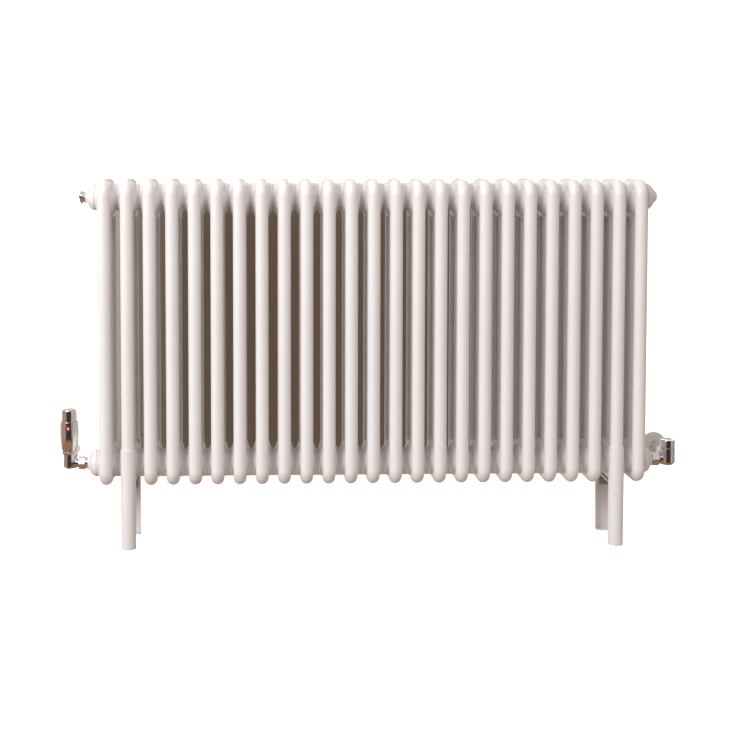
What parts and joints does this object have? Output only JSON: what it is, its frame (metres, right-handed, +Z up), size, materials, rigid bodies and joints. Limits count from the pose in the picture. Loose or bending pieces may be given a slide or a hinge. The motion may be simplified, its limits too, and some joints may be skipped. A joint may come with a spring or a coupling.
{
  "type": "column radiator with valves",
  "caption": "Tubular steel column radiator with slip-on feet, a chrome thermostatic corner valve at one end and a lockshield corner valve at the other.",
  "frame": {"origin": "on the floor, in the middle of the four floor screw holes of the feet", "axes": "+X along the radiator to the lockshield end, -Y the room side, +Y the wall side, +Z up"},
  "size_m": [1.2828, 0.202, 0.746],
  "materials": {
    "radiator_paint": "smooth gloss powder coat",
    "foot_paint": "smooth gloss powder coat",
    "zinc_steel": "bright zinc plate",
    "gasket": "pressed fibre, matt",
    "chrome_valve": "polished chrome plate on cast brass",
    "chrome_head": "polished chrome plate",
    "chrome_vent": "polished chrome plate",
    "chrome_pipe": "polished chrome plate on copper",
    "brass": "turned brass",
    "stainless": "ground stainless steel",
    "seal_rubber": "matt rubber",
    "carrier_plastic": "moulded, matt",
    "rosette_plastic": "moulded, gloss",
    "index_red": "dark red, gloss",
    "index_white": "white, gloss"
  },
  "bodies": {
    "radiator": {"section_01": "radiator_paint", "section_02": "radiator_paint", "section_03": "radiator_paint", "section_04": "radiator_paint", "section_05": "radiator_paint", "section_06": "radiator_paint", "section_07": "radiator_paint", "section_08": "radiator_paint", "section_09": "radiator_paint", "section_10": "radiator_paint", "section_11": "radiator_paint", "section_12": "radiator_paint", "section_13": "radiator_paint", "section_14": "radiator_paint", "section_15": "radiator_paint", "section_16": "radiator_paint", "section_17": "radiator_paint", "section_18": "radiator_paint", "section_19": "radiator_paint", "section_20": "radiator_paint", "section_21": "radiator_paint", "section_22": "radiator_paint", "section_23": "radiator_paint", "section_24": "radiator_paint", "section_25": "radiator_paint", "end_bushes": "radiator_paint", "blanking_plug": "radiator_paint", "foot_front_shells": "foot_paint", "foot_back_shells": "foot_paint", "hub_nipples": "zinc_steel", "foot_straps": "zinc_steel", "foot_bolts": "zinc_steel", "hub_gaskets": "gasket", "bush_gaskets": "gasket", "trv_body": "chrome_valve", "lockshield_body": "chrome_valve", "union_nuts": "chrome_valve", "valve_tails": "chrome_valve", "inlet_nuts": "chrome_valve", "trv_collar": "chrome_valve", "trv_sleeve": "chrome_head", "vent_plug": "chrome_vent", "inlet_pipes": "chrome_pipe", "trv_bonnet": "brass", "lockshield_bonnet": "brass", "inlet_olives": "brass", "trv_spring": "stainless", "pipe_rosette": "rosette_plastic", "trv_index_ring": "index_red", "trv_index_dot": "index_white"},
    "trv_cap_group": {"trv_cap": "chrome_head"},
    "trv_stem_group": {"trv_carrier": "carrier_plastic", "trv_sensor": "brass", "trv_pin": "stainless", "trv_disc": "seal_rubber"},
    "lockshield_cap_group": {"lockshield_cap": "chrome_head"},
    "lockshield_spindle_group": {"lockshield_spindle": "brass"},
    "lockshield_plug_group": {"lockshield_plug": "brass"},
    "vent_nozzle_group": {"vent_nozzle": "chrome_vent"},
    "bleed_screw_group": {"bleed_screw": "brass"}
  },
  "joints": [
    {"name": "trv_cap_turn", "type": "hinge", "parent": "radiator", "child": "trv_cap_group", "pos_m": [-0.62, 0, 0.253], "axis": [0, 0, 1], "range_deg": [-135, 135]},
    {"name": "trv_stem_lift", "type": "slide", "parent": "radiator", "child": "trv_stem_group", "axis": [0, 0, 1], "range_m": [-0.00135, 0.00135], "deforming": ["trv_spring"]},
    {"name": "lockshield_cap_lift", "type": "slide", "parent": "radiator", "child": "lockshield_cap_group", "axis": [0, 0, 1], "range_m": [0, 0.03]},
    {"name": "lockshield_spindle_turn", "type": "hinge", "parent": "radiator", "child": "lockshield_spindle_group", "pos_m": [0.6165, 0, 0.193], "axis": [0, 0, 1], "range_deg": [-540, 540]},
    {"name": "lockshield_plug_lift", "type": "slide", "parent": "radiator", "child": "lockshield_plug_group", "axis": [0, 0, 1], "range_m": [-0.00135, 0.00135]},
    {"name": "vent_nozzle_turn", "type": "hinge", "parent": "radiator", "child": "vent_nozzle_group", "pos_m": [-0.591, 0, 0.709], "axis": [-1, 0, 0], "continuous": true},
    {"name": "bleed_screw_turn", "type": "hinge", "parent": "radiator", "child": "bleed_screw_group", "pos_m": [-0.592, 0, 0.709], "axis": [-1, 0, 0], "range_deg": [-360, 0]}
  ],
  "couplings": [
    {"joint": "trv_stem_lift", "follows": "trv_cap_turn", "m_per_rad": 0.00057296},
    {"joint": "lockshield_plug_lift", "follows": "lockshield_spindle_turn", "m_per_rad": 0.00014324}
  ]
}
